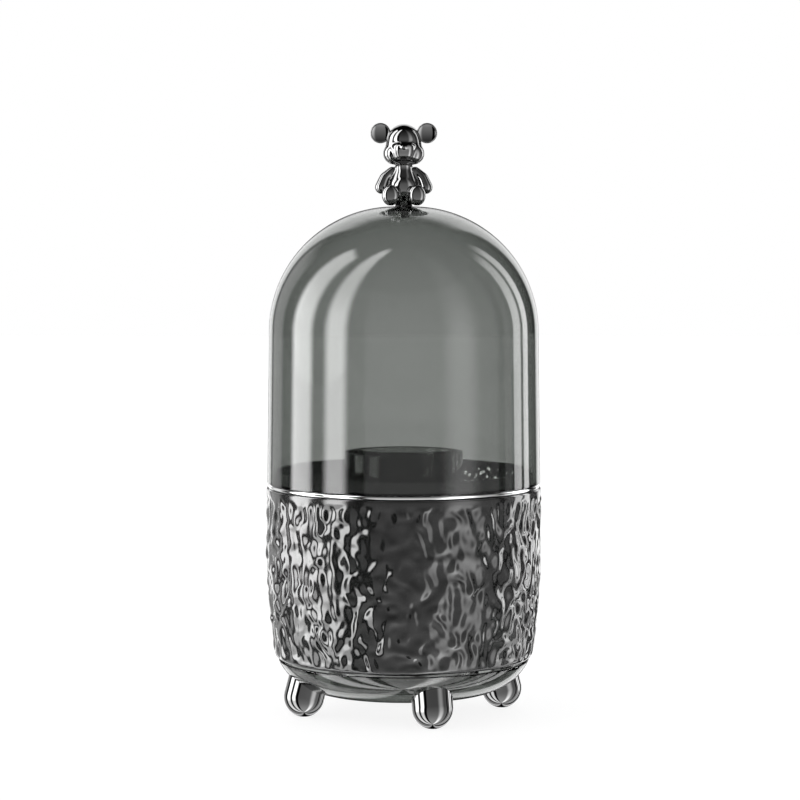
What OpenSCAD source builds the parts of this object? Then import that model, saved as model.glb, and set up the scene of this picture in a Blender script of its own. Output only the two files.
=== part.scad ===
// Rotating cosmetics holder with a lift-off dome: a relief-walled bucket turns on a
// ball bearing in a shallow footed bowl, holds a lift-out divider and wears a dome
// cover whose knob is a seated teddy bear. Units are millimetres, Z is up, the
// feet stand on z = 0 and the axis of revolution is the Z axis.

/* [Bucket] */
// Diameter of the bucket at its widest
bucket_d = 122; // [116:1:128]
// Height from the bucket's foot to the shoulder that carries the rim ring
bucket_h = 75.9; // [68:0.1:84]
// Height above the foot up to which the wall is curved
belly_h = 48; // [36:1:54]
// Radius of the curve that draws the wall in towards the foot
belly_r = 295; // [240:5:400]
// Rounding of the foot's edge
foot_round = 2.5; // [1.5:0.1:4]
// Chamfer on the shoulder's outer edge
shoulder_chamfer = 0.5; // [0.2:0.1:1]
// Thickness of the bucket's floor
bucket_floor_t = 3; // [2.4:0.1:4]
// Draft of the inside wall: radius lost from the collar down to the floor
core_draft = 2; // [1:0.1:3]
// Rounding of the inside corner at the floor
core_round = 1.5; // [0.8:0.1:2.5]

/* [Rim ring and collar] */
// How far the ring's outside lies inside the bucket's outside, on the radius
ring_inset = 0.5; // [0.2:0.1:1]
// Height of the ring
ring_h = 2.2; // [1.6:0.1:3]
// Height of the collar above the shoulder
collar_h = 8; // [6:0.1:12]
// Wall of the collar
collar_t = 1.6; // [1.2:0.1:2.2]

/* [Dome] */
// How far the dome's outside lies inside the bucket's outside, on the radius
dome_inset = 0.3; // [0.1:0.1:0.8]
// Height of the dome's straight side
dome_side_h = 67; // [50:1:90]
// Draft of the dome's side: radius lost from its mouth to the crown
dome_draft = 0.9; // [0.3:0.1:2]
// Margin of the flat on the crown's top round the knob's gasket and washer
crown_margin = 0.4; // [0.2:0.1:1]
// Wall of the dome
dome_t = 2; // [1.6:0.1:2.6]
// Play between the dome's inside and the collar, on the radius
dome_play = 0.7; // [0.3:0.1:0.9]
// Chamfer on the inner edge of the dome's mouth
mouth_chamfer = 0.6; // [0.3:0.1:1]

/* [Divider insert] */
// Outer diameter of the central cup
cup_d = 52.8; // [40:0.2:60]
// Height of the cup from the insert's underside
cup_h = 88.9; // [78:0.1:96]
// Height of the fins from the insert's underside
fin_h = 69; // [50:1:74]
// Number of fins
fin_count = 4; // [3:1:6]
// Direction of the first fin
fin_turn = 45; // [0:5:90]
// Wall of the cup and thickness of the fins
insert_t = 1.8; // [1.4:0.1:2.4]
// Thickness of the insert's floor
insert_floor_t = 1.6; // [1.2:0.1:2.4]
// Rounding of the fins' top outer corners
fin_round = 7; // [3:0.5:12]
// Clearance of the insert inside the bucket, on the radius
insert_gap = 0.6; // [0.4:0.1:0.9]

/* [Bearing] */
// Diameter of the circle on which the balls run
pitch_d = 54; // [46:1:60]
// Diameter of the balls
ball_d = 5; // [4:0.5:5.5]
// Number of balls
ball_count = 12; // [8:1:16]
// Width of each race, from its bore to its outside
race_w = 10; // [9:0.5:12]
// Thickness of each race
race_t = 2; // [1.8:0.1:2.4]
// Depth of the ball groove in each race
groove_h = 1.2; // [0.9:0.1:1.3]
// Clearance between a ball and its grooves
groove_gap = 0.1; // [0.05:0.01:0.15]
// Depth of the seat that locates each race
race_seat = 0.6; // [0.4:0.1:1]
// Thickness of the ribs that carry the lower race
rib_t = 1.6; // [1.2:0.1:2]
// Thickness of the ball cage
cage_t = 1.6; // [1.2:0.1:1.8]
// Clearance of a ball in its cage hole, on the radius
cage_gap = 0.15; // [0.08:0.01:0.2]

/* [Base bowl] */
// Height of the bowl's flat bottom above the table
bowl_lift = 9.5; // [8:0.1:12]
// Height of the bowl
bowl_h = 14.3; // [13:0.1:18]
// Radius of the bowl's side curve
bowl_arc = 25.3; // [22:0.1:30]
// Wall of the bowl
bowl_t = 2.4; // [2:0.1:3]
// How far the bowl's rim stands outside the flat of the bucket's foot
bowl_step = 0.9; // [0.4:0.1:2]
// Running gap between the bowl's rim and the bucket
turn_gap = 1.1; // [0.6:0.1:2]

/* [Pivot] */
// Diameter of the bucket's pivot pin
pin_d = 10; // [8:0.5:12]
// Running clearance of the pin in the hub, on the radius
pin_gap = 0.1; // [0.05:0.01:0.1]
// Wall of the hub round the pin
hub_t = 2.9; // [2:0.1:4]
// Clearance above the hub and below it, between the bucket and the bowl
hub_gap = 0.15; // [0.1:0.01:0.3]
// Diameter of the pivot washer
pivot_washer_d = 18; // [16:0.5:20]
// Thickness of the pivot washer
pivot_washer_t = 1; // [0.8:0.1:1.4]
// Thread diameter of the pivot screw
pivot_screw_d = 4; // [3:0.5:5]
// Length of the pivot screw under its head
pivot_screw_l = 10; // [8:1:10]
// Depth of the recess in the bowl's underside
recess_h = 4.6; // [4.4:0.1:5]
// Clearance round the washer in its recess, on the radius
recess_gap = 1; // [0.5:0.1:2]

/* [Feet] */
// Diameter of the feet
foot_d = 18; // [14:0.5:20]
// Diameter of the flat tip that each foot stands on
foot_tip_d = 4.6; // [3:0.1:6]
// Distance of the feet's round ends inside the bowl's rim
foot_inset = 9.9; // [8:0.1:12]
// Outward splay of the feet
foot_splay = 15; // [8:1:18]
// Turn of the first foot from the front
foot_turn = 15.8; // [0:0.1:45]
// Thread diameter of the foot screws
foot_screw_d = 3; // [2.5:0.5:3.5]
// Length of the foot screws under their heads
foot_screw_l = 12; // [10:1:14]
// Wall of the bosses round the foot screws
boss_t = 2.4; // [1.6:0.1:3]
// Height of the bosses above the bowl's wall, along the screws
boss_h = 1.6; // [1:0.1:2.4]

/* [Knob] */
// Height of the bear's hips above its seat
hip_h = 6.3; // [5.5:0.1:7]
// Radius of the bear's hips
hip_r = 7.2; // [6:0.1:8]
// Height of the bear's shoulders above its seat
shoulder_h = 15.6; // [14.5:0.1:17]
// Radius of the bear's shoulders
shoulder_r = 3.6; // [3:0.1:4.5]
// Height of the middle of the cheeks above the seat
cheek_h = 22.8; // [22:0.1:24]
// Radius of the cheeks
cheek_r = 4.9; // [4.2:0.1:5.4]
// Width across the cheeks
cheek_w = 18.4; // [16:0.2:20]
// Radius of the skull
skull_r = 7.7; // [7:0.1:8.4]
// Height of the skull's middle above the middle of the cheeks
skull_rise = 5.3; // [4:0.1:6.5]
// Radius of the ears
ear_r = 4.5; // [3.6:0.1:5.2]
// Thickness of the ears
ear_t = 3; // [2:0.1:4]
// Width from one ear's middle to the other's
ear_span = 20.6; // [18:0.1:22]
// Width across the muzzle
muzzle_w = 10.4; // [8:0.2:12]
// Width from one hand's middle to the other's
hand_span = 19.8; // [18:0.1:22]
// Radius of the hands
hand_r = 3; // [2.6:0.1:3.4]
// Width from one sole's middle to the other's
sole_span = 11.6; // [10:0.1:14]
// Radius of the soles, across
sole_r = 3.9; // [3.4:0.05:4.6]
// Thickness of the soles
sole_t = 2.4; // [1.6:0.1:3]
// How far the soles' middles reach forward
leg_reach = 9.4; // [7:0.1:11]
// Thread diameter of the knob screw
knob_screw_d = 3; // [2:0.5:3.5]
// Length of the knob screw under its head
knob_screw_l = 12; // [10:1:14]
// Diameter of the gasket and the washer at the knob
knob_washer_d = 7.6; // [7:0.1:9]
// Thickness of the gasket between the knob and the dome
gasket_t = 0.5; // [0.4:0.1:1]
// Thickness of the washer inside the dome
knob_washer_t = 0.8; // [0.5:0.1:1.2]

/* [Fits] */
// Gap between pieces that rest on each other
seat_gap = 0.05; // [0.03:0.01:0.1]
// Gap between pieces that rest on each other and come apart by hand
rest_gap = 0.1; // [0.05:0.01:0.2]
// Clearance of a screw in the hole it bites, on the radius
bite_gap = 0.05; // [0.03:0.01:0.08]
// Clearance of a screw in the hole it passes, on the radius
pass_gap = 0.2; // [0.1:0.05:0.4]

/* [Hidden] */
$fn = 96;
long_arc_fn = 720;
foot_count = 4;
big = 400;

// Radii of the upper part, from the outside in
bucket_r = bucket_d / 2;
ring_r = bucket_r - ring_inset;
dome_r = bucket_r - dome_inset;
spring_r = dome_r - dome_draft;
crown_flat_r = knob_washer_d / 2 + crown_margin;
crown_r = spring_r - crown_flat_r;
collar_r = dome_r - dome_t - dome_play;
mouth_r = collar_r - collar_t;
core_r = mouth_r - core_draft;
insert_r = core_r - insert_gap;
cup_r = cup_d / 2;

// The foot's edge: a small arc tangent to the belly's long arc
foot_edge_x = bucket_r - belly_r + sqrt(pow(belly_r - foot_round, 2) - pow(belly_h - foot_round, 2));
foot_edge_z = foot_round * (1 - (belly_h - foot_round) / (belly_r - foot_round));

// Bowl
bowl_rim_r = foot_edge_x + bowl_step;
bowl_flat_r = bowl_rim_r - sqrt(pow(bowl_arc, 2) - pow(bowl_arc - bowl_h, 2));
bowl_top = bowl_lift + bowl_h;
bowl_floor = bowl_lift + bowl_t;

// Levels from the bowl's rim up
bucket_z = bowl_top + turn_gap;
bucket_floor = bucket_z + bucket_floor_t;
shoulder_z = bucket_z + bucket_h;
ring_z = shoulder_z + seat_gap;
dome_z = ring_z + ring_h + seat_gap;
spring_z = dome_z + dome_side_h;
dome_top = spring_z + crown_r;
insert_z = bucket_floor + rest_gap;
knob_z = dome_top + gasket_t + 2 * seat_gap;

// Bearing levels, down from the bucket's floor
pitch_r = pitch_d / 2;
ball_r = ball_d / 2;
race_in = pitch_r - race_w / 2;
race_out = pitch_r + race_w / 2;
groove_r = ball_r + groove_gap;
ball_z = bucket_z + race_seat - seat_gap - race_t - (ball_r - groove_h);
upper_race_z = ball_z + ball_r - groove_h;
lower_race_z = ball_z - ball_r + groove_h - race_t;
cage_w = ball_d + 2 * rib_t;

// Pivot levels
hub_top = bucket_z - hub_gap;
recess_top = bowl_lift + recess_h;
recess_r = pivot_washer_d / 2 + recess_gap;
pin_end = recess_top - hub_gap;
pivot_washer_z = pin_end - seat_gap - pivot_washer_t;
pivot_head_z = pivot_washer_z - seat_gap;

// A foot's round end dips below the table by the depth of its flat tip
foot_r = foot_d / 2;
foot_z = sqrt(pow(foot_r, 2) - pow(foot_tip_d / 2, 2));
foot_x = bowl_rim_r - foot_inset;
// Distance along a foot's axis from its round end to the bowl's inside
bowl_arc_z = bowl_lift + bowl_arc;
foot_dx = foot_x - bowl_flat_r;
foot_dz = bowl_arc_z - foot_z;
foot_along = foot_dx * sin(foot_splay) + foot_dz * cos(foot_splay);
foot_across = foot_dx * cos(foot_splay) - foot_dz * sin(foot_splay);
wall_in = foot_along - sqrt(pow(bowl_arc - bowl_t, 2) - pow(foot_across, 2));
boss_top = wall_in + boss_h;
boss_r = foot_screw_d / 2 + pass_gap + boss_t;

// Radius of a screw's pan head, for its thread diameter
function head_r(d) = d * 0.95;

// Height of a screw's pan head, for its thread diameter
function head_h(d) = d * 0.6;

// Point at the share t of the way from a to b
function mid(a, b, t) = a + (b - a) * t;

// ---- Shared shapes ----

// Right half of a flat shape
module half_plane() {
    intersection() {
        children();
        translate([0, -big]) square([big, 2 * big]);
    }
}

// Half section of two balls on the Z axis joined by their tangent cone
module taper_section(r1, r2, h) {
    lean = asin((r1 - r2) / h);
    half_plane() {
        circle(r1);
        translate([0, h]) circle(r2);
        polygon([
            [0, 0],
            [r1 * cos(lean), r1 * sin(lean)],
            [r2 * cos(lean), h + r2 * sin(lean)],
            [0, h]
        ]);
    }
}

// Limb from one point to another, with a ball of its own radius at each end
module limb(from, r1, to, r2) {
    span = to - from;
    flat = norm([span.x, span.y]);
    translate(from)
        rotate([0, atan2(flat, span.z), atan2(span.y, span.x)])
            rotate_extrude() taper_section(r1, r2, norm(span));
}

// The same thing on the left and on the right
module both_sides() {
    children();
    mirror([1, 0, 0]) children();
}

// Flat washer that lies on z = 0
module washer(d, hole_d, t) {
    difference() {
        cylinder(d = d, h = t);
        translate([0, 0, -1]) cylinder(d = hole_d, h = t + 2);
    }
}

// Pan-head screw with its head below z = 0 and its shank up the Z axis
module screw(d, length) {
    drive_w = d * 0.22;
    drive_l = d * 0.95;
    difference() {
        union() {
            translate([0, 0, -head_h(d)]) cylinder(r = head_r(d), h = head_h(d));
            cylinder(d = d, h = length);
        }
        for (turn = [0, 90])
            rotate(turn)
                translate([-drive_l / 2, -drive_w / 2, -head_h(d) - 1]) cube([drive_l, drive_w, 1 + head_h(d) / 2]);
    }
}

// Race ring on z = 0, with its ball groove in the top face
module race() {
    difference() {
        rotate_extrude() translate([race_in, 0]) square([race_w, race_t]);
        rotate_extrude() translate([pitch_r, race_t + ball_r - groove_h]) circle(groove_r);
    }
}

// ---- Base ----

// Half section of the bowl's form, filled, with its side curve this far in
module bowl_section(inset) {
    intersection() {
        union() {
            translate([bowl_flat_r, bowl_arc_z]) circle(bowl_arc - inset, $fn = 2 * $fn);
            translate([0, bowl_lift + inset]) square([bowl_flat_r, bowl_h]);
        }
        translate([0, bowl_lift + inset]) square([big, bowl_h - inset]);
    }
}

// Moves things from the Z axis to the axis of one foot
module at_foot(i) {
    rotate(i * 360 / foot_count - 90 + foot_turn)
        translate([foot_x, 0, foot_z])
            rotate([0, -foot_splay, 0])
                children();
}

// Ribs that carry and locate the lower race, the hub and the foot bosses
module bowl_supports() {
    rotate_extrude() {
        translate([race_in, bowl_floor - 1]) square([rib_t, lower_race_z - seat_gap - bowl_floor + 1]);
        translate([race_out + rest_gap, bowl_floor - 1]) square([rib_t, lower_race_z + race_seat - bowl_floor + 1]);
        translate([race_out - rib_t, bowl_floor - 1]) square([2 * rib_t, lower_race_z - seat_gap - bowl_floor + 1]);
        translate([0, bowl_floor - 1]) square([recess_r + bowl_t, recess_top + bowl_t - bowl_floor + 1]);
        translate([0, bowl_floor - 1]) square([pin_d / 2 + pin_gap + hub_t, hub_top - bowl_floor + 1]);
    }
    for (i = [0 : foot_count - 1])
        at_foot(i) cylinder(r = boss_r, h = boss_top);
}

module base_bowl() {
    color("dimgray", 0.6)
    difference() {
        rotate_extrude() bowl_section(0);
        difference() {
            rotate_extrude() bowl_cavity_section();
            bowl_supports();
        }
        translate([0, 0, bowl_lift - 1]) cylinder(r = recess_r, h = recess_h + 1);
        cylinder(r = pin_d / 2 + pin_gap, h = bowl_top + bowl_h);
        for (i = [0 : foot_count - 1])
            at_foot(i) cylinder(d = foot_screw_d + 2 * pass_gap, h = boss_top + foot_screw_l);
    }
}

// Half section of the bowl's inside, open above its rim
module bowl_cavity_section() {
    bowl_section(bowl_t);
    translate([0, bowl_top - 0.01]) square([bowl_rim_r + bowl_t, bowl_h]);
}

// Half section of a ball-ended foot, with the middle of its round end at the origin
module foot_section() {
    half_plane() {
        circle(foot_r);
        translate([-foot_r, 0]) square([2 * foot_r, boss_top + foot_r / 2]);
    }
}

module foot(i) {
    color("silver")
    difference() {
        at_foot(i) rotate_extrude() foot_section();
        rotate_extrude() bowl_section(-seat_gap);
        at_foot(i) translate([0, 0, boss_top - foot_screw_l - 1])
            cylinder(d = foot_screw_d + 2 * bite_gap, h = foot_screw_l);
        translate([-big / 2, -big / 2, -foot_r]) cube([big, big, foot_r]);
    }
}

module foot_screws() {
    color("gray")
    for (i = [0 : foot_count - 1])
        at_foot(i) translate([0, 0, boss_top + seat_gap]) mirror([0, 0, 1]) screw(foot_screw_d, foot_screw_l);
}

// ---- Bearing ----

module lower_race() {
    color("lightgray")
    translate([0, 0, lower_race_z]) race();
}

module upper_race() {
    color("lightgray")
    translate([0, 0, upper_race_z + race_t]) mirror([0, 0, 1]) race();
}

module ball_cage() {
    color("white")
    translate([0, 0, ball_z - cage_t / 2])
    difference() {
        rotate_extrude() translate([pitch_r - cage_w / 2, 0]) square([cage_w, cage_t]);
        for (i = [0 : ball_count - 1])
            rotate(i * 360 / ball_count)
                translate([pitch_r, 0, -1]) cylinder(r = ball_r + cage_gap, h = cage_t + 2);
    }
}

module bearing_balls() {
    color("silver")
    for (i = [0 : ball_count - 1])
        rotate(i * 360 / ball_count)
            translate([pitch_r, 0, ball_z]) sphere(ball_r, $fn = 32);
}

// ---- Bucket ----

// Half section of the bucket's outside, filled, on z = 0
module bucket_section() {
    intersection() {
        translate([bucket_r - belly_r, belly_h]) circle(belly_r, $fn = long_arc_fn);
        translate([0, foot_edge_z]) square([bucket_r, belly_h - foot_edge_z]);
    }
    half_plane() translate([foot_edge_x, foot_round]) circle(foot_round);
    square([foot_edge_x, foot_edge_z]);
    polygon([
        [0, belly_h],
        [bucket_r, belly_h],
        [bucket_r, bucket_h - shoulder_chamfer],
        [bucket_r - shoulder_chamfer, bucket_h],
        [0, bucket_h]
    ]);
    square([collar_r, bucket_h + collar_h]);
}

// Half section of the bucket's inside, on z = 0
module core_section() {
    top = bucket_h + collar_h;
    lean = core_draft / (top - bucket_floor_t);
    polygon([
        [0, bucket_floor_t],
        [core_r - core_round, bucket_floor_t],
        [core_r - core_round, bucket_floor_t + core_round],
        [core_r + core_round * lean, bucket_floor_t + core_round],
        [mouth_r + lean, top + 1],
        [0, top + 1]
    ]);
    translate([core_r - core_round, bucket_floor_t + core_round]) circle(core_round);
}

module bucket() {
    color("dimgray")
    difference() {
        union() {
            translate([0, 0, bucket_z]) rotate_extrude() difference() {
                bucket_section();
                core_section();
            }
            translate([0, 0, pin_end]) cylinder(d = pin_d, h = bucket_z + 1 - pin_end);
        }
        translate([0, 0, bucket_z]) rotate_extrude() translate([race_in - rest_gap, -1])
            square([race_w + 2 * rest_gap, race_seat + 1]);
        translate([0, 0, pin_end - 1]) cylinder(d = pivot_screw_d + 2 * bite_gap, h = pivot_screw_l + 1);
    }
}

module rim_ring() {
    edge_r = ring_h / 2;
    color("silver")
    translate([0, 0, ring_z])
    rotate_extrude() {
        translate([collar_r + rest_gap, 0]) square([ring_r - edge_r - collar_r - rest_gap, ring_h]);
        translate([ring_r - edge_r, edge_r]) circle(edge_r);
    }
}

module pivot_washer() {
    color("silver")
    translate([0, 0, pivot_washer_z]) washer(pivot_washer_d, pivot_screw_d + 2 * pass_gap, pivot_washer_t);
}

module pivot_screw() {
    color("gray")
    translate([0, 0, pivot_head_z]) screw(pivot_screw_d, pivot_screw_l);
}

// ---- Divider insert ----

// Upright outline of one fin, from the cup's wall out
module fin_outline() {
    reach = insert_r - cup_r + insert_t / 2;
    translate([cup_r - insert_t / 2, 0]) {
        square([reach, fin_h - fin_round]);
        square([reach - fin_round, fin_h]);
        translate([reach - fin_round, fin_h - fin_round]) circle(fin_round);
    }
}

module divider_insert() {
    edge = core_round + insert_gap;
    color([0.13, 0.13, 0.14])
    translate([0, 0, insert_z])
    union() {
        difference() {
            union() {
                cylinder(r1 = insert_r - edge, r2 = insert_r, h = insert_floor_t);
                cylinder(r = cup_r, h = cup_h);
            }
            translate([0, 0, insert_floor_t]) cylinder(r = cup_r - insert_t, h = cup_h);
        }
        for (i = [0 : fin_count - 1])
            rotate(fin_turn + i * 360 / fin_count)
                translate([0, insert_t / 2, insert_floor_t / 2]) rotate([90, 0, 0])
                    linear_extrude(insert_t) fin_outline();
    }
}

// ---- Dome ----

// Half section of the dome's form, filled, with its surface this far in
module dome_section(inset) {
    translate([0, dome_z])
    polygon([
        [0, 0],
        [dome_r - inset, 0],
        [spring_r - inset, dome_side_h],
        [0, dome_side_h]
    ]);
    translate([0, spring_z]) {
        square([crown_flat_r, crown_r - inset]);
        intersection() {
            translate([crown_flat_r, 0]) circle(crown_r - inset, $fn = 2 * $fn);
            square([big, big]);
        }
    }
}

module dome_cover() {
    color("gray", 0.45)
    difference() {
        rotate_extrude() dome_section(0);
        rotate_extrude() dome_section(dome_t);
        translate([0, 0, dome_z - mouth_chamfer])
            cylinder(r1 = dome_r - dome_t + mouth_chamfer, r2 = dome_r - dome_t - mouth_chamfer, h = 2 * mouth_chamfer);
        translate([0, 0, spring_z]) cylinder(d = knob_screw_d + 2 * pass_gap, h = 2 * crown_r);
    }
}

module knob_gasket() {
    color([0.2, 0.2, 0.2])
    translate([0, 0, dome_top + seat_gap]) washer(knob_washer_d, knob_screw_d + 2 * pass_gap, gasket_t);
}

module knob_washer() {
    color("silver")
    translate([0, 0, dome_top - dome_t - seat_gap - knob_washer_t])
        washer(knob_washer_d, knob_screw_d + 2 * pass_gap, knob_washer_t);
}

module knob_screw() {
    color("gray")
    translate([0, 0, dome_top - dome_t - knob_washer_t - 2 * seat_gap]) screw(knob_screw_d, knob_screw_l);
}

// ---- Bear knob: seated, facing -Y, with its seat on z = 0 ----

// Round-rimmed disc that faces -Y
module cushion(r, t) {
    rotate([90, 0, 0])
        rotate_extrude() {
            translate([0, -t / 2]) square([r - t / 2, t]);
            translate([r - t / 2, 0]) half_plane() circle(t / 2);
        }
}

module bear_body() {
    shoulder = [shoulder_r * 1.45, -0.2, shoulder_h - 0.2];
    hand = [hand_span / 2, -1.4, hip_h + 1.6];
    elbow = mid(shoulder, hand, 0.5) + [0.8, 0.2, 0.4];
    limb([0, 0, hip_h], hip_r, [0, 0, shoulder_h], shoulder_r);
    both_sides() {
        limb(shoulder, hand_r * 0.6, elbow, hand_r * 0.85);
        limb(mid(elbow, shoulder, 0.08), hand_r * 0.82, hand, hand_r);
    }
}

module bear_legs() {
    tall = 1.18;
    hip = [sole_span * 0.3, -hip_r * 0.4, sole_r * 0.85];
    ankle = [sole_span / 2, sole_t - leg_reach, sole_r];
    both_sides() {
        limb(hip, sole_r * 0.8, ankle, sole_r * 0.82);
        translate([sole_span / 2, -leg_reach, sole_r * tall - 0.2])
            scale([1, 1, tall]) cushion(sole_r, sole_t);
    }
}

module bear_head() {
    skull_h = cheek_h + skull_rise;
    cheek_x = cheek_w / 2 - cheek_r;
    muzzle = [0, -cheek_r * 1.15, cheek_h + 1.8];
    muzzle_size = [muzzle_w / 2, cheek_r * 1.05, cheek_r * 0.76];
    translate([0, 0, skull_h]) sphere(skull_r);
    limb([-cheek_x, -cheek_r * 0.7, cheek_h], cheek_r, [cheek_x, -cheek_r * 0.7, cheek_h], cheek_r);
    translate(muzzle) scale(muzzle_size) sphere(1);
    translate(muzzle + [0, 0.3 - muzzle_size.y, muzzle_size.z * 0.4])
        scale([muzzle_size.x * 0.32, muzzle_size.y * 0.24, muzzle_size.z * 0.24]) sphere(1);
    both_sides()
        translate([ear_span / 2, 0.6, skull_h + ear_r * 0.82]) cushion(ear_r, ear_t);
}

module bear_knob() {
    color("silver")
    translate([0, 0, knob_z])
    difference() {
        union() {
            bear_body();
            bear_legs();
            bear_head();
        }
        translate([-big / 2, -big / 2, -big]) cube([big, big, big]);
        translate([0, 0, -1]) cylinder(d = knob_screw_d + 2 * bite_gap, h = knob_screw_l - dome_t - knob_washer_t + 1);
    }
}

base_bowl();
foot(0);  // foot_1
foot(1);  // foot_2
foot(2);  // foot_3
foot(3);  // foot_4
foot_screws();
lower_race();
ball_cage();
bearing_balls();
upper_race();
bucket();
rim_ring();
pivot_washer();
pivot_screw();
divider_insert();
dome_cover();
bear_knob();
knob_gasket();
knob_washer();
knob_screw();
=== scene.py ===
import math
import bpy
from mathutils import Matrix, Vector


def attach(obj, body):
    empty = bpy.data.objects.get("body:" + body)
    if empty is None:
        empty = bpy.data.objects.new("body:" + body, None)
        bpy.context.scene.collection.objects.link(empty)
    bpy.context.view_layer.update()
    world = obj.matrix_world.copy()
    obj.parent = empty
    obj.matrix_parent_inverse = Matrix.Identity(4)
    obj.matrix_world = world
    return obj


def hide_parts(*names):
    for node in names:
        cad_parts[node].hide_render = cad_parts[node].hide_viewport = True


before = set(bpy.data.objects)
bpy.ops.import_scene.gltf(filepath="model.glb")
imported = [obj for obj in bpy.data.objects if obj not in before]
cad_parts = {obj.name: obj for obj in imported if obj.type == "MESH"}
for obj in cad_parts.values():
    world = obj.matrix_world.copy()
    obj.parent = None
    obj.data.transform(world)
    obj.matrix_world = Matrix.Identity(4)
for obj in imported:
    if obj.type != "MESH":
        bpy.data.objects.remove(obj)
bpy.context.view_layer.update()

MM = 0.001

# ---- Sizes that several functions use, in mm, as in the solids ----

# Underside of the bucket and top of its collar
BUCKET_Z = 24.9
COLLAR_TOP = 108.8
# Outer radius of the ring groove over and under the balls
GROOVE_OUT = 32.1
# Arc that the bowl's outside is spun from: its centre and its radius
BOWL_X = 33.06
BOWL_Z = 34.8
BOWL_ARC = 25.3
# Feet: centre of the ball, lean of the foot and turn of the first one, in degrees
FOOT_X = 45.94
FOOT_Z = 8.7
FOOT_LEAN = 15
FOOT_TURN = -74.2
# Seat of the bear
SEAT = 226.3


# ---- Nodes ----

def node(tree, kind, **settings):
    made = tree.nodes.new(kind)
    for name, value in settings.items():
        setattr(made, name, value)
    return made


def feed(tree, socket, value):
    """Gives a socket a fixed value, or links it to the output of another node"""
    if isinstance(value, bpy.types.NodeSocket):
        tree.links.new(value, socket)
    else:
        socket.default_value = value


def math_node(tree, operation, *inputs):
    made = node(tree, "ShaderNodeMath", operation=operation)
    for socket, value in zip(made.inputs, inputs):
        feed(tree, socket, value)
    return made.outputs[0]


def blend(tree, kind, factor, first, second):
    """Mixes two numbers or two colours"""
    made = node(tree, "ShaderNodeMix", data_type=kind)
    feed(tree, made.inputs["Factor"], factor)
    feed(tree, made.inputs["A"], first)
    feed(tree, made.inputs["B"], second)
    return made.outputs["Result"]


def add_up(tree, *parts):
    total = parts[0]
    for part in parts[1:]:
        total = math_node(tree, "ADD", total, part)
    return total


def edge(tree, value, start, end):
    """0 before start, 1 after end, smooth between them"""
    made = node(tree, "ShaderNodeMapRange", interpolation_type="SMOOTHSTEP")
    feed(tree, made.inputs["Value"], value)
    if start < end:
        made.inputs["From Min"].default_value = start
        made.inputs["From Max"].default_value = end
    else:
        made.inputs["From Min"].default_value = end
        made.inputs["From Max"].default_value = start
        made.inputs["To Min"].default_value = 1
        made.inputs["To Max"].default_value = 0
    return made.outputs["Result"]


def axes_of(tree, output):
    """X, Y and Z of the place or direction that this output of the coordinates gives"""
    place_in = node(tree, "ShaderNodeTexCoord")
    split = node(tree, "ShaderNodeSeparateXYZ")
    tree.links.new(place_in.outputs[output], split.inputs[0])
    return split.outputs["X"], split.outputs["Y"], split.outputs["Z"]


# ---- Camera, floor and studio ----

def set_camera():
    distance = 1500 * MM
    tilt = math.radians(4.29)
    aim = Vector((-1.67 * MM, 0, 139.76 * MM))
    bpy.ops.object.camera_add(
        location=aim + Vector((0, -distance * math.cos(tilt), distance * math.sin(tilt))),
        rotation=(math.radians(90) - tilt, 0, 0),
    )
    camera = bpy.context.object
    camera.name = "camera"
    camera.data.lens = 151.75
    camera.data.sensor_width = 36
    camera.data.clip_start = 0.01
    bpy.context.scene.camera = camera


def lay_floor():
    bpy.ops.mesh.primitive_plane_add(size=6, location=(0, 0, 0))
    floor = bpy.context.object
    floor.name = "floor"
    made, _, shader = new_material("floor_white", Base_Color=(0.15, 0.15, 0.15, 1), Roughness=1.0)
    shader.inputs["Emission Color"].default_value = (1, 1, 1, 1)
    shader.inputs["Emission Strength"].default_value = 0.86
    floor.data.materials.append(made)
    floor.visible_glossy = False


def panel(tree, turn, height, glow, left, right, top=95, low=-95, soft=2, soft_top=2):
    """One panel of the studio, between two directions and two heights, in degrees"""
    sides = math_node(
        tree, "MULTIPLY",
        edge(tree, turn, left - soft, left + soft),
        edge(tree, turn, right + soft, right - soft),
    )
    ends = math_node(
        tree, "MULTIPLY",
        edge(tree, height, low - soft_top, low + soft_top),
        edge(tree, height, top + soft_top, top - soft_top),
    )
    return math_node(tree, "MULTIPLY", math_node(tree, "MULTIPLY", sides, ends), glow)


def side_panels(tree, turn, height):
    """Tall panels at both sides, dimmer near the floor and a little dimmer overhead"""
    tall = add_up(
        tree,
        panel(tree, turn, height, glow=7.5, left=-108.5, right=-85, top=60, soft=4, soft_top=3),
        panel(tree, turn, height, glow=7.5, left=-69.5, right=-50.5, top=79, soft=4.5, soft_top=4),
        panel(tree, turn, height, glow=4.0, left=107, right=118, top=44, soft=1.2, soft_top=7),
        panel(tree, turn, height, glow=4.0, left=122, right=131, top=44, soft=1.2, soft_top=7),
    )
    rise = add_up(tree, math_node(tree, "MULTIPLY", edge(tree, height, -20, -7), 0.55), 0.45)
    droop = add_up(tree, math_node(tree, "MULTIPLY", edge(tree, height, 42, 8), 0.35), 0.65)
    return math_node(tree, "MULTIPLY", math_node(tree, "MULTIPLY", rise, droop), tall)


def rear_panels(tree, turn, height):
    """Dim panels behind, for the rims of the dome"""
    return add_up(
        tree,
        panel(tree, turn, height, glow=0.8, left=-148, right=-126, top=30, soft=4, soft_top=8),
        panel(tree, turn, height, glow=1.5, left=152, right=170, top=44, soft=3, soft_top=8),
        panel(tree, turn, height, glow=1.5, left=-170, right=-152, top=44, soft=3, soft_top=8),
        panel(tree, turn, height, glow=1.5, left=170, right=190, top=44, low=12, soft=3, soft_top=8),
        panel(tree, turn, height, glow=1.5, left=-190, right=-170, top=44, low=12, soft=3, soft_top=8),
    )


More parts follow.
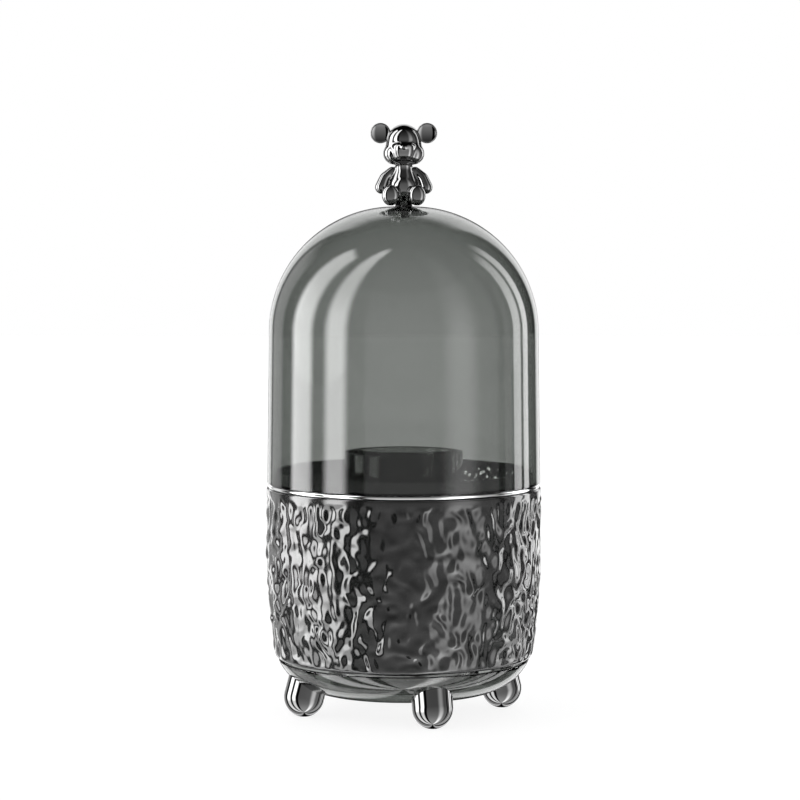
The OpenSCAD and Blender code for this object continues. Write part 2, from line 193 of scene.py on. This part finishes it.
def front_glow(tree, height):
    """Bright towards the floor and dark overhead"""
    fall = node(tree, "ShaderNodeMapRange")
    tree.links.new(height, fall.inputs["Value"])
    fall.inputs["From Min"].default_value = -90
    fall.inputs["From Max"].default_value = 90
    ramp = node(tree, "ShaderNodeValToRGB")
    tree.links.new(fall.outputs[0], ramp.inputs[0])
    levels = [
        (-90, 1.0), (-57, 0.70), (-34, 0.45), (-5, 0.29), (7, 0.24),
        (25, 0.15), (40, 0.09), (70, 0.02), (90, 0.0),
    ]
    while len(ramp.color_ramp.elements) < len(levels):
        ramp.color_ramp.elements.new(0.5)
    for element, (at, level) in zip(ramp.color_ramp.elements, levels):
        element.position = (at + 90) / 180
        element.color = (level, level, level, 1)
    return math_node(tree, "MULTIPLY", ramp.outputs[0], 1.5)


def front_panels(tree, turn, height):
    """The front, with narrow black flags at both ends and a brighter patch on the right"""
    before = add_up(
        tree,
        panel(tree, turn, height, glow=1.0, left=-33, right=87),
        panel(tree, turn, height, glow=1.0, left=95, right=104),
        panel(tree, turn, height, glow=3.4, left=38, right=62, soft=9),
    )
    return math_node(tree, "MULTIPLY", before, front_glow(tree, height))


def light_studio():
    """White all round, and a studio of panels and black flags that only gloss shows"""
    world = bpy.data.worlds.new("studio")
    bpy.context.scene.world = world
    world.use_nodes = True
    world.cycles.sampling_method = "NONE"
    tree = world.node_tree
    tree.nodes.clear()
    x, y, z = axes_of(tree, "Generated")
    forward = math_node(tree, "MULTIPLY", y, -1.0)
    turn = math_node(tree, "DEGREES", math_node(tree, "ARCTAN2", x, forward))
    height = math_node(tree, "DEGREES", math_node(tree, "ARCSINE", z))
    in_gloss = add_up(
        tree,
        side_panels(tree, turn, height),
        rear_panels(tree, turn, height),
        front_panels(tree, turn, height),
        0.005,
    )
    path = node(tree, "ShaderNodeLightPath")
    seen_in_gloss = math_node(tree, "GREATER_THAN", path.outputs["Glossy Depth"], 0.5)
    glow = node(tree, "ShaderNodeBackground")
    glow.inputs["Color"].default_value = (1, 1, 1, 1)
    feed(tree, glow.inputs["Strength"], blend(tree, "FLOAT", seen_in_gloss, 1.0, in_gloss))
    out = node(tree, "ShaderNodeOutputWorld")
    tree.links.new(glow.outputs[0], out.inputs[0])


# ---- Materials ----

def new_material(name, **values):
    made = bpy.data.materials.new(name)
    made.use_nodes = True
    shader = made.node_tree.nodes["Principled BSDF"]
    for socket, value in values.items():
        shader.inputs[socket.replace("_", " ")].default_value = value
    return made, made.node_tree, shader


def unevenness(tree, shader, cell, low, high, lift):
    """Roughness that wanders between two values, and a faint swell of the surface, in mm

    Gives back the noise that both follow, and the roughness.
    """
    place_in = node(tree, "ShaderNodeTexCoord")
    noise = node(tree, "ShaderNodeTexNoise")
    noise.inputs["Scale"].default_value = 1 / (cell * MM)
    noise.inputs["Detail"].default_value = 3
    tree.links.new(place_in.outputs["Object"], noise.inputs["Vector"])
    wander = noise.outputs["Fac"]
    rough = node(tree, "ShaderNodeMapRange")
    rough.inputs["From Min"].default_value = 0.3
    rough.inputs["From Max"].default_value = 0.7
    rough.inputs["To Min"].default_value = low
    rough.inputs["To Max"].default_value = high
    tree.links.new(wander, rough.inputs["Value"])
    tree.links.new(rough.outputs["Result"], shader.inputs["Roughness"])
    swell = node(tree, "ShaderNodeBump")
    swell.inputs["Strength"].default_value = 1.0
    swell.inputs["Distance"].default_value = lift * MM
    tree.links.new(wander, swell.inputs["Height"])
    tree.links.new(swell.outputs["Normal"], shader.inputs["Normal"])
    return wander, rough.outputs["Result"]


def smoke(name, per_mm, ior):
    """Clear smoke plastic with this density of absorption in each mm"""
    made, tree, shader = new_material(name, Base_Color=(1, 1, 1, 1), IOR=ior)
    shader.inputs["Transmission Weight"].default_value = 1.0
    unevenness(tree, shader, cell=30, low=0.0, high=0.004, lift=0.002)
    absorb = node(tree, "ShaderNodeVolumeAbsorption")
    absorb.inputs["Color"].default_value = (0.0, 0.036, 0.0, 1)
    absorb.inputs["Density"].default_value = per_mm / MM
    tree.links.new(absorb.outputs[0], tree.nodes["Material Output"].inputs["Volume"])
    return made


def grey_surface(name, grey, spread, cell, low, high, lift, **values):
    """Grey that wanders by this spread, together with its roughness"""
    made, tree, shader = new_material(name, **values)
    wander, _ = unevenness(tree, shader, cell, low, high, lift)
    dark = (grey - spread, grey - spread, grey - spread, 1)
    light = (grey + spread, grey + spread, grey + spread, 1)
    feed(tree, shader.inputs["Base Color"], blend(tree, "RGBA", wander, dark, light))
    return made


def metal(name, **look):
    return grey_surface(name, Metallic=1.0, **look)


def plastic(name, **look):
    return grey_surface(name, IOR=1.5, **look)


def dark_lacquer(name, plated_r, plated_z):
    """Nearly black with a clear glossy coat, and plated within this radius above this height"""
    made, tree, shader = new_material(name, IOR=1.5)
    wander, rough = unevenness(tree, shader, cell=6, low=0.3, high=0.4, lift=0.001)
    x, y, z = axes_of(tree, "Object")
    squares = math_node(tree, "ADD", math_node(tree, "MULTIPLY", x, x), math_node(tree, "MULTIPLY", y, y))
    within = math_node(tree, "LESS_THAN", math_node(tree, "SQRT", squares), plated_r * MM)
    above = math_node(tree, "GREATER_THAN", z, plated_z * MM)
    plated = math_node(tree, "MULTIPLY", within, above)
    black = blend(tree, "RGBA", wander, (0.002, 0.0022, 0.002, 1), (0.004, 0.0043, 0.004, 1))
    colour = blend(tree, "RGBA", plated, black, (0.45, 0.45, 0.45, 1))
    feed(tree, shader.inputs["Base Color"], colour)
    feed(tree, shader.inputs["Metallic"], plated)
    feed(tree, shader.inputs["Roughness"], blend(tree, "FLOAT", plated, rough, 0.08))
    shader.inputs["Specular IOR Level"].default_value = 0.12
    shader.inputs["Coat Weight"].default_value = 1.0
    shader.inputs["Coat IOR"].default_value = 1.7
    shader.inputs["Coat Roughness"].default_value = 0.06
    return made


# ---- Tools of the bench ----

def arc(x, z, radius, start, end, steps):
    """Points of an arc, angles in degrees from the X axis towards Z"""
    turns = [math.radians(start + (end - start) * i / steps) for i in range(steps + 1)]
    return [(x + radius * math.cos(a), z + radius * math.sin(a)) for a in turns]


def lathe(name, outline, steps):
    """Draws half an outline from point to point and spins it round the Z axis"""
    bpy.ops.object.select_all(action="DESELECT")
    bpy.ops.mesh.primitive_plane_add(size=MM, location=(0, 0, 0))
    piece = bpy.context.object
    piece.name = name
    bpy.ops.object.mode_set(mode="EDIT")
    bpy.ops.mesh.select_mode(type="VERT")
    bpy.ops.mesh.select_all(action="SELECT")
    bpy.ops.mesh.merge(type="CENTER")
    x, z = 0, 0
    for i, (next_x, next_z) in enumerate(outline):
        step = ((next_x - x) * MM, 0, (next_z - z) * MM)
        if i == 0:
            bpy.ops.transform.translate(value=step)
        else:
            bpy.ops.mesh.extrude_region_move(TRANSFORM_OT_translate={"value": step})
        x, z = next_x, next_z
    bpy.ops.mesh.select_all(action="SELECT")
    bpy.ops.mesh.spin(steps=steps, angle=2 * math.pi, center=(0, 0, 0), axis=(0, 0, 1))
    bpy.ops.mesh.select_all(action="SELECT")
    bpy.ops.mesh.remove_doubles(threshold=0.002 * MM)
    bpy.ops.mesh.normals_make_consistent(inside=False)
    bpy.ops.object.mode_set(mode="OBJECT")
    bpy.ops.object.shade_smooth_by_angle(angle=math.radians(35))
    return piece


def pick_only(piece):
    bpy.ops.object.select_all(action="DESELECT")
    piece.select_set(True)
    bpy.context.view_layer.objects.active = piece


def smooth(piece, angle):
    pick_only(piece)
    bpy.ops.object.shade_smooth_by_angle(angle=math.radians(angle))


def place(piece, turn=(0, 0, 0), at=(0, 0, 0), stretch=(1, 1, 1)):
    """Scales, turns in degrees and moves a piece in mm, and applies it"""
    pick_only(piece)
    piece.scale = stretch
    piece.rotation_euler = [math.radians(a) for a in turn]
    piece.location = [c * MM for c in at]
    bpy.ops.object.transform_apply(location=True, rotation=True, scale=True)


def dress(piece, body, slot, material, *nodes):
    piece.data.materials.clear()
    piece.data.materials.append(material)
    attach(piece, body)
    if nodes:
        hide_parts(*nodes)


def cut(piece, cutter, operation="DIFFERENCE"):
    """Cuts a piece with a second one, or joins the two, and throws the second away"""
    press = piece.modifiers.new("cut", "BOOLEAN")
    press.operation = operation
    press.solver = "EXACT"
    press.object = cutter
    bpy.context.view_layer.objects.active = piece
    bpy.ops.object.modifier_apply(modifier=press.name)
    bpy.data.objects.remove(cutter)


def join(name, pieces):
    bpy.ops.object.select_all(action="DESELECT")
    for piece in pieces:
        piece.select_set(True)
    bpy.context.view_layer.objects.active = pieces[0]
    bpy.ops.object.join()
    joined = bpy.context.object
    joined.name = name
    return joined


def at_foot(piece, number):
    """Moves a piece from the Z axis to the axis of one foot"""
    place(piece, turn=(0, -FOOT_LEAN, 0), at=(FOOT_X, 0, FOOT_Z))
    place(piece, turn=(0, 0, number * 90 + FOOT_TURN))


def rod(name, radius, low, high, steps=64):
    return lathe(name, [(0, low), (radius, low), (radius, high), (0, high)], steps)


def limb(name, start, start_r, end, end_r):
    """Two balls and the cone that touches both"""
    way = Vector(end) - Vector(start)
    lean = math.degrees(math.asin((start_r - end_r) / way.length))
    outline = arc(0, 0, start_r, -90, lean, 24) + arc(0, way.length, end_r, lean, 90, 24)
    outline[0] = (0, -start_r)
    outline[-1] = (0, way.length + end_r)
    piece = lathe(name, outline, 64)
    facing = way.to_track_quat("Z", "Y").to_euler()
    place(piece, turn=[math.degrees(a) for a in facing], at=start)
    return piece


def ball(name, at, size):
    bpy.ops.mesh.primitive_uv_sphere_add(segments=64, ring_count=32, radius=MM)
    piece = bpy.context.object
    piece.name = name
    place(piece, at=at, stretch=size)
    return piece


def press_flat(piece, level, height, above):
    """Squeezes what is above or below this level towards it"""
    bpy.ops.object.mode_set(mode="EDIT")
    bpy.ops.mesh.select_mode(type="VERT")
    bpy.ops.mesh.select_all(action="DESELECT")
    bpy.ops.object.mode_set(mode="OBJECT")
    for corner in piece.data.vertices:
        if above:
            corner.select = corner.co.z > (level + 0.001) * MM
        else:
            corner.select = corner.co.z < (level - 0.001) * MM
    bpy.ops.object.mode_set(mode="EDIT")
    bpy.ops.transform.resize(value=(1, 1, height), center_override=(0, 0, level * MM))
    bpy.ops.object.mode_set(mode="OBJECT")


def mark_belt(piece, name, top, low, fade_top, fade_low, least_r, most_r=99):
    """Marks the belt of the wall that carries the relief, fading out at both ends"""
    group = piece.vertex_groups.new(name=name)
    for corner in piece.data.vertices:
        x, y, z = corner.co / MM
        if least_r < math.hypot(x, y) < most_r:
            weight = min(1, max(0, (top - z) / fade_top)) * min(1, max(0, (z - low) / fade_low))
            if weight > 0:
                group.add([corner.index], weight, "REPLACE")


def hammer(piece, belt, name, kind, wide, high, depth, **settings):
    """Presses a built-in texture into the marked belt, its cells this wide and high in mm"""
    bpy.ops.object.empty_add(location=(0.3, 0.2, 0.1))
    grid = bpy.context.object
    grid.scale = (wide * MM, wide * MM, high * MM)
    texture = bpy.data.textures.new(name, kind)
    texture.noise_scale = 1.0
    texture.noise_basis = "IMPROVED_PERLIN"
    for key, value in settings.items():
        setattr(texture, key, value)
    press = piece.modifiers.new(name, "DISPLACE")
    press.texture = texture
    press.texture_coords = "OBJECT"
    press.texture_coords_object = grid
    press.strength = depth * MM
    press.mid_level = 0.5
    press.vertex_group = belt
    bpy.context.view_layer.objects.active = piece
    bpy.ops.object.modifier_apply(modifier=press.name)
    bpy.data.objects.remove(grid)


# ---- Pieces ----

def turn_dome(material):
    top_z = 225.7
    hole_r = 1.7
    crown_x = 4.2
    crown_z = 170.1
    crown_r = 55.6
    wall = 2
    middle_z = 136.6
    outline = (
        [(hole_r, top_z - wall), (hole_r, top_z), (crown_x, top_z)]
        + arc(crown_x, crown_z, crown_r, 90, 0, 60)[1:]
        + [(60.25, middle_z), (60.68, 105.0), (60.7, 103.3), (60.5, 103.1), (59.4, 103.1), (58.72, 103.8)]
        + [(58.25, middle_z)]
        + arc(crown_x, crown_z, crown_r - wall, 0, 90, 60)
        + [(hole_r, top_z - wall)]
    )
    dress(lathe("dome", outline, 256), "dome", "smoke_dome", material, "dome_cover")


def turn_ring(material):
    inner_r = 58.1
    outer_r = 60.5
    low = 100.85
    bulge = 1.1
    outline = (
        [(inner_r, low)]
        + arc(outer_r - bulge, low + bulge, bulge, -90, 90, 16)
        + [(inner_r, low + 2 * bulge), (inner_r, low)]
    )
    dress(lathe("ring", outline, 256), "bucket", "chrome", material, "rim_ring")


def bucket_wall():
    """The outside, from the rounded foot over the belly to the shoulder"""
    side_r = 61
    belly_h = 48
    belly_arc = 295
    side_h = 27.4
    foot_r = 2.5
    foot_x = 54.94
    foot_z = foot_r * (1 - (belly_h - foot_r) / (belly_arc - foot_r))
    foot_end = math.degrees(math.asin((foot_z - foot_r) / foot_r))
    rows = [foot_z + (belly_h - foot_z) * i / 76 for i in range(1, 77)]
    belly = [
        (side_r - belly_arc + math.sqrt(belly_arc ** 2 - (belly_h - z) ** 2), BUCKET_Z + z)
        for z in rows
    ]
    side = [(side_r, BUCKET_Z + belly_h + side_h * i / 45) for i in range(1, 46)]
    return arc(foot_x, BUCKET_Z + foot_r, foot_r, -90, foot_end, 8) + belly + side


def bucket_inside():
    """The inside, from the chamfered mouth down to the floor"""
    mouth_r = 56.4
    core_r = 54.4
    chamfer = 0.3
    corner_r = 1.5
    floor_t = 3
    floor_z = BUCKET_Z + floor_t
    lean = (mouth_r - core_r) / (COLLAR_TOP - floor_z)
    close_rows = [i * 0.7 for i in range(1, 40)]
    return (
        [(mouth_r + chamfer, COLLAR_TOP), (mouth_r, COLLAR_TOP - chamfer)]
        + [(mouth_r - lean * h, COLLAR_TOP - chamfer - h) for h in close_rows]
        + [(core_r + lean * (h - floor_t), BUCKET_Z + h) for h in (40, 25, 12, 5)]
        + arc(core_r - corner_r, floor_z + corner_r, corner_r, 0, -90, 6)
        + [(40, floor_z), (20, floor_z), (0, floor_z)]
    )


def press_bucket(material):
    pin_r = 5.0
    pin_z = 13.95
    pin_chamfer = 0.4
    groove_in = 21.9
    groove_z = 25.5
    collar_r = 58.0
    chamfer = 0.3
    outline = (
        [(0, pin_z), (pin_r - pin_chamfer, pin_z), (pin_r, pin_z + pin_chamfer), (pin_r, BUCKET_Z)]
        + [(groove_in, BUCKET_Z), (groove_in, groove_z), (GROOVE_OUT, groove_z), (GROOVE_OUT, BUCKET_Z)]
        + [(45, BUCKET_Z), (52, BUCKET_Z)]
        + bucket_wall()
        + [(60.85, 100.65), (60.5, 100.8), (58.1, 100.8), (collar_r, 100.9)]
        + [(collar_r, COLLAR_TOP - chamfer), (collar_r - chamfer, COLLAR_TOP)]
        + bucket_inside()
    )
    bucket = lathe("bucket_shell", outline, 600)
    mark_belt(bucket, "pressed", top=98.6, low=25.5, fade_top=2.6, fade_low=3, least_r=53)
    hammer(
        bucket, "pressed", "waves", "CLOUDS", wide=12, high=12, depth=0.45,
        noise_depth=0,
    )
    hammer(
        bucket, "pressed", "swirls", "DISTORTED_NOISE", wide=11, high=12, depth=0.3,
        distortion=1.6, contrast=3.0, intensity=1.15, noise_distortion="IMPROVED_PERLIN",
    )
    hammer(
        bucket, "pressed", "dimples", "CLOUDS", wide=4.7, high=7, depth=0.29,
        noise_depth=0, contrast=5.0, intensity=1.85,
    )
    mark_belt(
        bucket, "pressed_through",
        top=107.5, low=60, fade_top=1.5, fade_low=10, least_r=50, most_r=57.2,
    )
    hammer(
        bucket, "pressed_through", "inner_swirls", "DISTORTED_NOISE", wide=4.5, high=9, depth=0.3,
        distortion=2.0, contrast=3.0, noise_distortion="IMPROVED_PERLIN",
    )
    dress(bucket, "bucket", "dark_relief", material, "bucket")


def turn_bowl(material):
    wall = 2.4
    floor_z = 11.9
    seat_z = 18.8
    bore_r = 5.1
    hub_r = 8.0
    hub_z = 24.75
    lip_z = 23.8
    chamfer = 0.2
    outline = (
        [(bore_r, 14.1), (10.0, 14.1), (10.0, 9.9), (10.4, 9.5)]
        + arc(BOWL_X, BOWL_Z, BOWL_ARC, -90, -26.2, 48)
        + [(55.75, 23.7), (55.45, lip_z), (53.5, lip_z), (53.2, 23.7)]
        + arc(BOWL_X, BOWL_Z, BOWL_ARC - wall, -29.4, -88.4, 48)
        + [(33.7, 19.3), (33.55, 19.45), (32.25, 19.45), (GROOVE_OUT, 19.3), (GROOVE_OUT, seat_z)]
        + [(30.4, seat_z), (30.4, floor_z), (23.6, floor_z), (23.6, seat_z)]
        + [(22.0, seat_z), (22.0, floor_z), (12.4, floor_z), (12.4, 16.5), (hub_r, 16.5)]
        + [(hub_r, hub_z - chamfer), (hub_r - chamfer, hub_z)]
        + [(bore_r + chamfer, hub_z), (bore_r, hub_z - chamfer)]
        + [(bore_r, 14.1)]
    )
    bowl = lathe("bowl", outline, 256)
    for number in range(4):
        boss = rod("boss", radius=4.1, low=5.6, high=7.96)
        at_foot(boss, number)
        cut(bowl, boss, "UNION")
    for number in range(4):
        hole = rod("hole", radius=1.7, low=0, high=20, steps=48)
        at_foot(hole, number)
        cut(bowl, hole)
    smooth(bowl, 35)
    dress(bowl, "base", "smoke_bowl", material, "base_bowl")


def turn_feet(material):
    foot_r = 9
    top_z = 12.4
    seat_gap = 0.05
    outline = (
        [(0, -foot_r)]
        + arc(0, 0, foot_r, -88, 0, 44)
        + [(foot_r, 4), (foot_r, 8), (foot_r, top_z), (0, top_z)]
    )
    foot = lathe("foot", outline, 144)
    at_foot(foot, 0)
    form = (
        [(0, BOWL_Z - BOWL_ARC - seat_gap)]
        + arc(BOWL_X, BOWL_Z, BOWL_ARC + seat_gap, -90, -20, 48)
        + [(60, 40), (0, 40)]
    )
    cut(foot, lathe("bowl_form", form, 192))
    hole = rod("hole", radius=1.55, low=-5.04, high=6.96, steps=48)
    at_foot(hole, 0)
    cut(foot, hole)
    cut(foot, rod("table", radius=80, low=-12, high=0, steps=12))
    smooth(foot, 30)
    for number in range(1, 5):
        if number > 1:
            bpy.ops.object.duplicate()
            foot = bpy.context.object
            place(foot, turn=(0, 0, 90))
        foot.name = "foot_" + str(number) + "_turned"
        dress(foot, "base", "chrome", material, "foot_" + str(number))


def mould_fin(number):
    """One fin between cup and wall, its outer top corner rounded"""
    corner_r = 7
    bpy.ops.mesh.primitive_cube_add(size=MM)
    fin = bpy.context.object
    fin.name = "fin"
    place(fin, at=(39.65, 0, 62.9), stretch=(28.3, 1.8, 68.2))
    bpy.ops.object.mode_set(mode="EDIT")
    bpy.ops.mesh.select_all(action="DESELECT")
    bpy.ops.object.mode_set(mode="OBJECT")
    for side in fin.data.edges:
        ends = [fin.data.vertices[i].co / MM for i in side.vertices]
        side.select = all(end.x > 50 and end.z > 90 for end in ends)
    bpy.ops.object.mode_set(mode="EDIT")
    bpy.ops.mesh.select_mode(type="EDGE")
    bpy.ops.mesh.bevel(offset=corner_r * MM, segments=16)
    bpy.ops.object.mode_set(mode="OBJECT")
    soften = fin.modifiers.new("soften", "BEVEL")
    soften.width = 0.3 * MM
    soften.segments = 2
    soften.angle_limit = math.radians(50)
    bpy.ops.object.modifier_apply(modifier=soften.name)
    place(fin, turn=(0, 0, 45 + 90 * number))
    return fin


def mould_insert(material):
    low = 28.0
    floor_z = 29.6
    cup_r = 26.4
    cup_in = 24.6
    rim_z = 116.5
    rim_r = 0.4
    outline = (
        [(0, low), (51.7, low), (53.8, 29.4), (53.6, floor_z), (cup_r + 0.5, floor_z), (cup_r, 30.1)]
        + [(cup_r, 70), (cup_r, rim_z)]
        + arc(cup_r - rim_r, rim_z, rim_r, 0, 90, 4)
        + arc(cup_in + rim_r, rim_z, rim_r, 90, 180, 4)
        + [(cup_in, 70), (cup_in, 30.6), (24.0, floor_z), (0, floor_z)]
    )
    insert = lathe("insert", outline, 256)
    for number in range(4):
        cut(insert, mould_fin(number), "UNION")
    smooth(insert, 35)
    dress(insert, "insert", "insert_black", material, "divider_insert")


# ---- Bear, seated at the level SEAT and facing the front ----

def pad(name, radius, bulge, at, tall):
    """Rounded cushion that faces the front"""
    quarter = arc(0, 0, 1, -90, 90, 40)[1:-1]
    outline = [(radius * x ** 0.85, bulge * z) for x, z in quarter]
    piece = lathe(name, [(0, -bulge)] + outline + [(0, bulge)], 72)
    place(piece, turn=(90, 0, 0))
    place(piece, at=at, stretch=(1, 1, tall))
    return piece


def dished_ear(at):
    """Round ear with a thin rim, hollowed in front"""
    outline = (
        [(0, -1.5), (2.6, -1.5)]
        + arc(3.2, -0.2, 1.3, -70, 0, 10)
        + arc(4.0, 0.95, 0.5, 0, 120, 12)
        + [(3.2, 1.12), (2.4, 0.84), (1.6, 0.64), (0.8, 0.52), (0, 0.48)]
    )
    piece = lathe("ear", outline, 72)
    place(piece, turn=(90, 0, 0))
    place(piece, at=at)
    return piece


def muzzle_bun(at, reach, radius, stretch):
    """A lying capsule, tall in front, pressed flat on top and under the chin"""
    piece = limb("muzzle", start=(-reach, 0, 0), start_r=radius, end=(reach, 0, 0), end_r=radius)
    place(piece, stretch=stretch)
    press_flat(piece, level=0, height=0.3, above=True)
    press_flat(piece, level=-5.1, height=0.1, above=False)
    place(piece, at=at)
    return piece


def bear_middle():
    """Trunk and head, in one line over the seat"""
    cheek = (4.3, -2.4, SEAT + 22.8)
    return [
        limb("torso", start=(0, -0.2, SEAT + 7.9), start_r=7.0, end=(0, 0, SEAT + 15.6), end_r=3.7),
        rod("stem", radius=3.8, low=SEAT - 0.5, high=SEAT + 4),
        limb("neck", start=(0, 0, SEAT + 15), start_r=3.4, end=(0, -0.6, SEAT + 21), end_r=4.2),
        ball("skull", at=(0, 0, SEAT + 28.1), size=(7.7, 7.7, 7.7)),
        ball("waist", at=(0, -0.8, SEAT + 26.0), size=(8.2, 6.9, 4.4)),
        limb("cheeks", start=(-cheek[0], cheek[1], cheek[2]), start_r=4.9, end=cheek, end_r=4.9),
        muzzle_bun(at=(0, -5.0, SEAT + 25.8), reach=1.3, radius=4.1, stretch=(1, 1.2, 1.8)),
        ball("nose", at=(0, -9.9, SEAT + 25.6), size=(1.6, 0.9, 0.9)),
        ball("belly", at=(0, -2.4, SEAT + 9.0), size=(5.4, 4.8, 4.6)),
    ]


def bear_limbs(side):
    """Arm and leg of one side, -1 or 1"""
    shoulder = (side * 5.2, -0.2, SEAT + 15.4)
    elbow = (side * 8.35, -0.6, SEAT + 12.05)
    hand = (side * 9.9, -1.4, SEAT + 7.9)
    hip = (side * 3.5, -2.9, SEAT + 3.3)
    ankle = (side * 5.8, -7.0, SEAT + 3.9)
    return [
        limb("upper_arm", start=shoulder, start_r=1.8, end=elbow, end_r=2.55),
        limb("forearm", start=elbow, start_r=2.55, end=hand, end_r=3.0),
        limb("leg", start=hip, start_r=3.1, end=ankle, end_r=3.2),
    ]


def bear_ends(side):
    """Sole and ear of one side, -1 or 1"""
    return [
        pad("sole", radius=3.9, bulge=2.7, at=(side * 5.8, -8.2, SEAT + 4.5), tall=1.18),
        dished_ear(at=(side * 10.3, 0.6, SEAT + 31.8)),
    ]


def shape_bear(material):
    body = bear_middle()
    ends = []
    for side in (-1, 1):
        body += bear_limbs(side)
        ends += bear_ends(side)
    bear = join("bear", body)
    skin = bear.modifiers.new("one_skin", "REMESH")
    skin.mode = "VOXEL"
    skin.voxel_size = 0.28 * MM
    bpy.ops.object.modifier_apply(modifier=skin.name)
    polish = bear.modifiers.new("polish", "SMOOTH")
    polish.factor = 0.5
    polish.iterations = 50
    bpy.ops.object.modifier_apply(modifier=polish.name)
    cut(bear, join("ends", ends), "UNION")
    cut(bear, rod("under", radius=40, low=SEAT - 20, high=SEAT, steps=24))
    cut(bear, rod("bore", radius=1.55, low=SEAT - 1, high=SEAT + 9.2, steps=48))
    smooth(bear, 40)
    dress(bear, "dome", "chrome", material, "bear_knob")


# ---- Scene ----

scene = bpy.context.scene
scene.view_settings.view_transform = "Standard"
scene.cycles.use_denoising = True
scene.cycles.max_bounces = 24
scene.cycles.transmission_bounces = 20
scene.cycles.glossy_bounces = 8
scene.cycles.transparent_max_bounces = 16

bpy.ops.object.select_all(action="DESELECT")
set_camera()
light_studio()
lay_floor()

dome_smoke = smoke("dome_smoke", per_mm=0.405, ior=1.55)
bowl_smoke = smoke("bowl_smoke", per_mm=0.3, ior=1.65)
chrome = metal("dark_chrome", grey=0.19, spread=0.01, cell=8, low=0.02, high=0.04, lift=0.0005)
bear_chrome = metal("bear_chrome", grey=0.22, spread=0.02, cell=8, low=0.03, high=0.05, lift=0.0005)
ring_silver = metal("ring_silver", grey=0.9, spread=0.02, cell=4, low=0.08, high=0.12, lift=0.002)
steel = metal("brushed_steel", grey=0.5, spread=0.06, cell=0.6, low=0.18, high=0.3, lift=0.002)
ball_steel = metal("ball_steel", grey=0.7, spread=0.02, cell=3, low=0.03, high=0.06, lift=0.0002)
lacquer = dark_lacquer("dark_lacquer", plated_r=57.3, plated_z=60)
insert_smoke = smoke("insert_smoke", per_mm=0.68, ior=1.4)
cage_white = plastic("cage_white", grey=0.7, spread=0.03, cell=2, low=0.4, high=0.55, lift=0.003)
rubber = plastic("rubber", grey=0.02, spread=0.005, cell=0.5, low=0.6, high=0.8, lift=0.004)

finish = {
    "dome_cover": dome_smoke,
    "base_bowl": bowl_smoke,
    "bear_knob": bear_chrome,
    "rim_ring": ring_silver,
    "foot_1": chrome,
    "foot_2": chrome,
    "foot_3": chrome,
    "foot_4": chrome,
    "bucket": lacquer,
    "divider_insert": insert_smoke,
    "ball_cage": cage_white,
    "bearing_balls": ball_steel,
    "knob_gasket": rubber,
}
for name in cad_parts:
    for slot in bpy.data.objects[name].material_slots:
        slot.material = finish.get(name, steel)

turn_dome(dome_smoke)
turn_ring(ring_silver)
press_bucket(lacquer)
turn_bowl(bowl_smoke)
turn_feet(chrome)
mould_insert(insert_smoke)
shape_bear(bear_chrome)
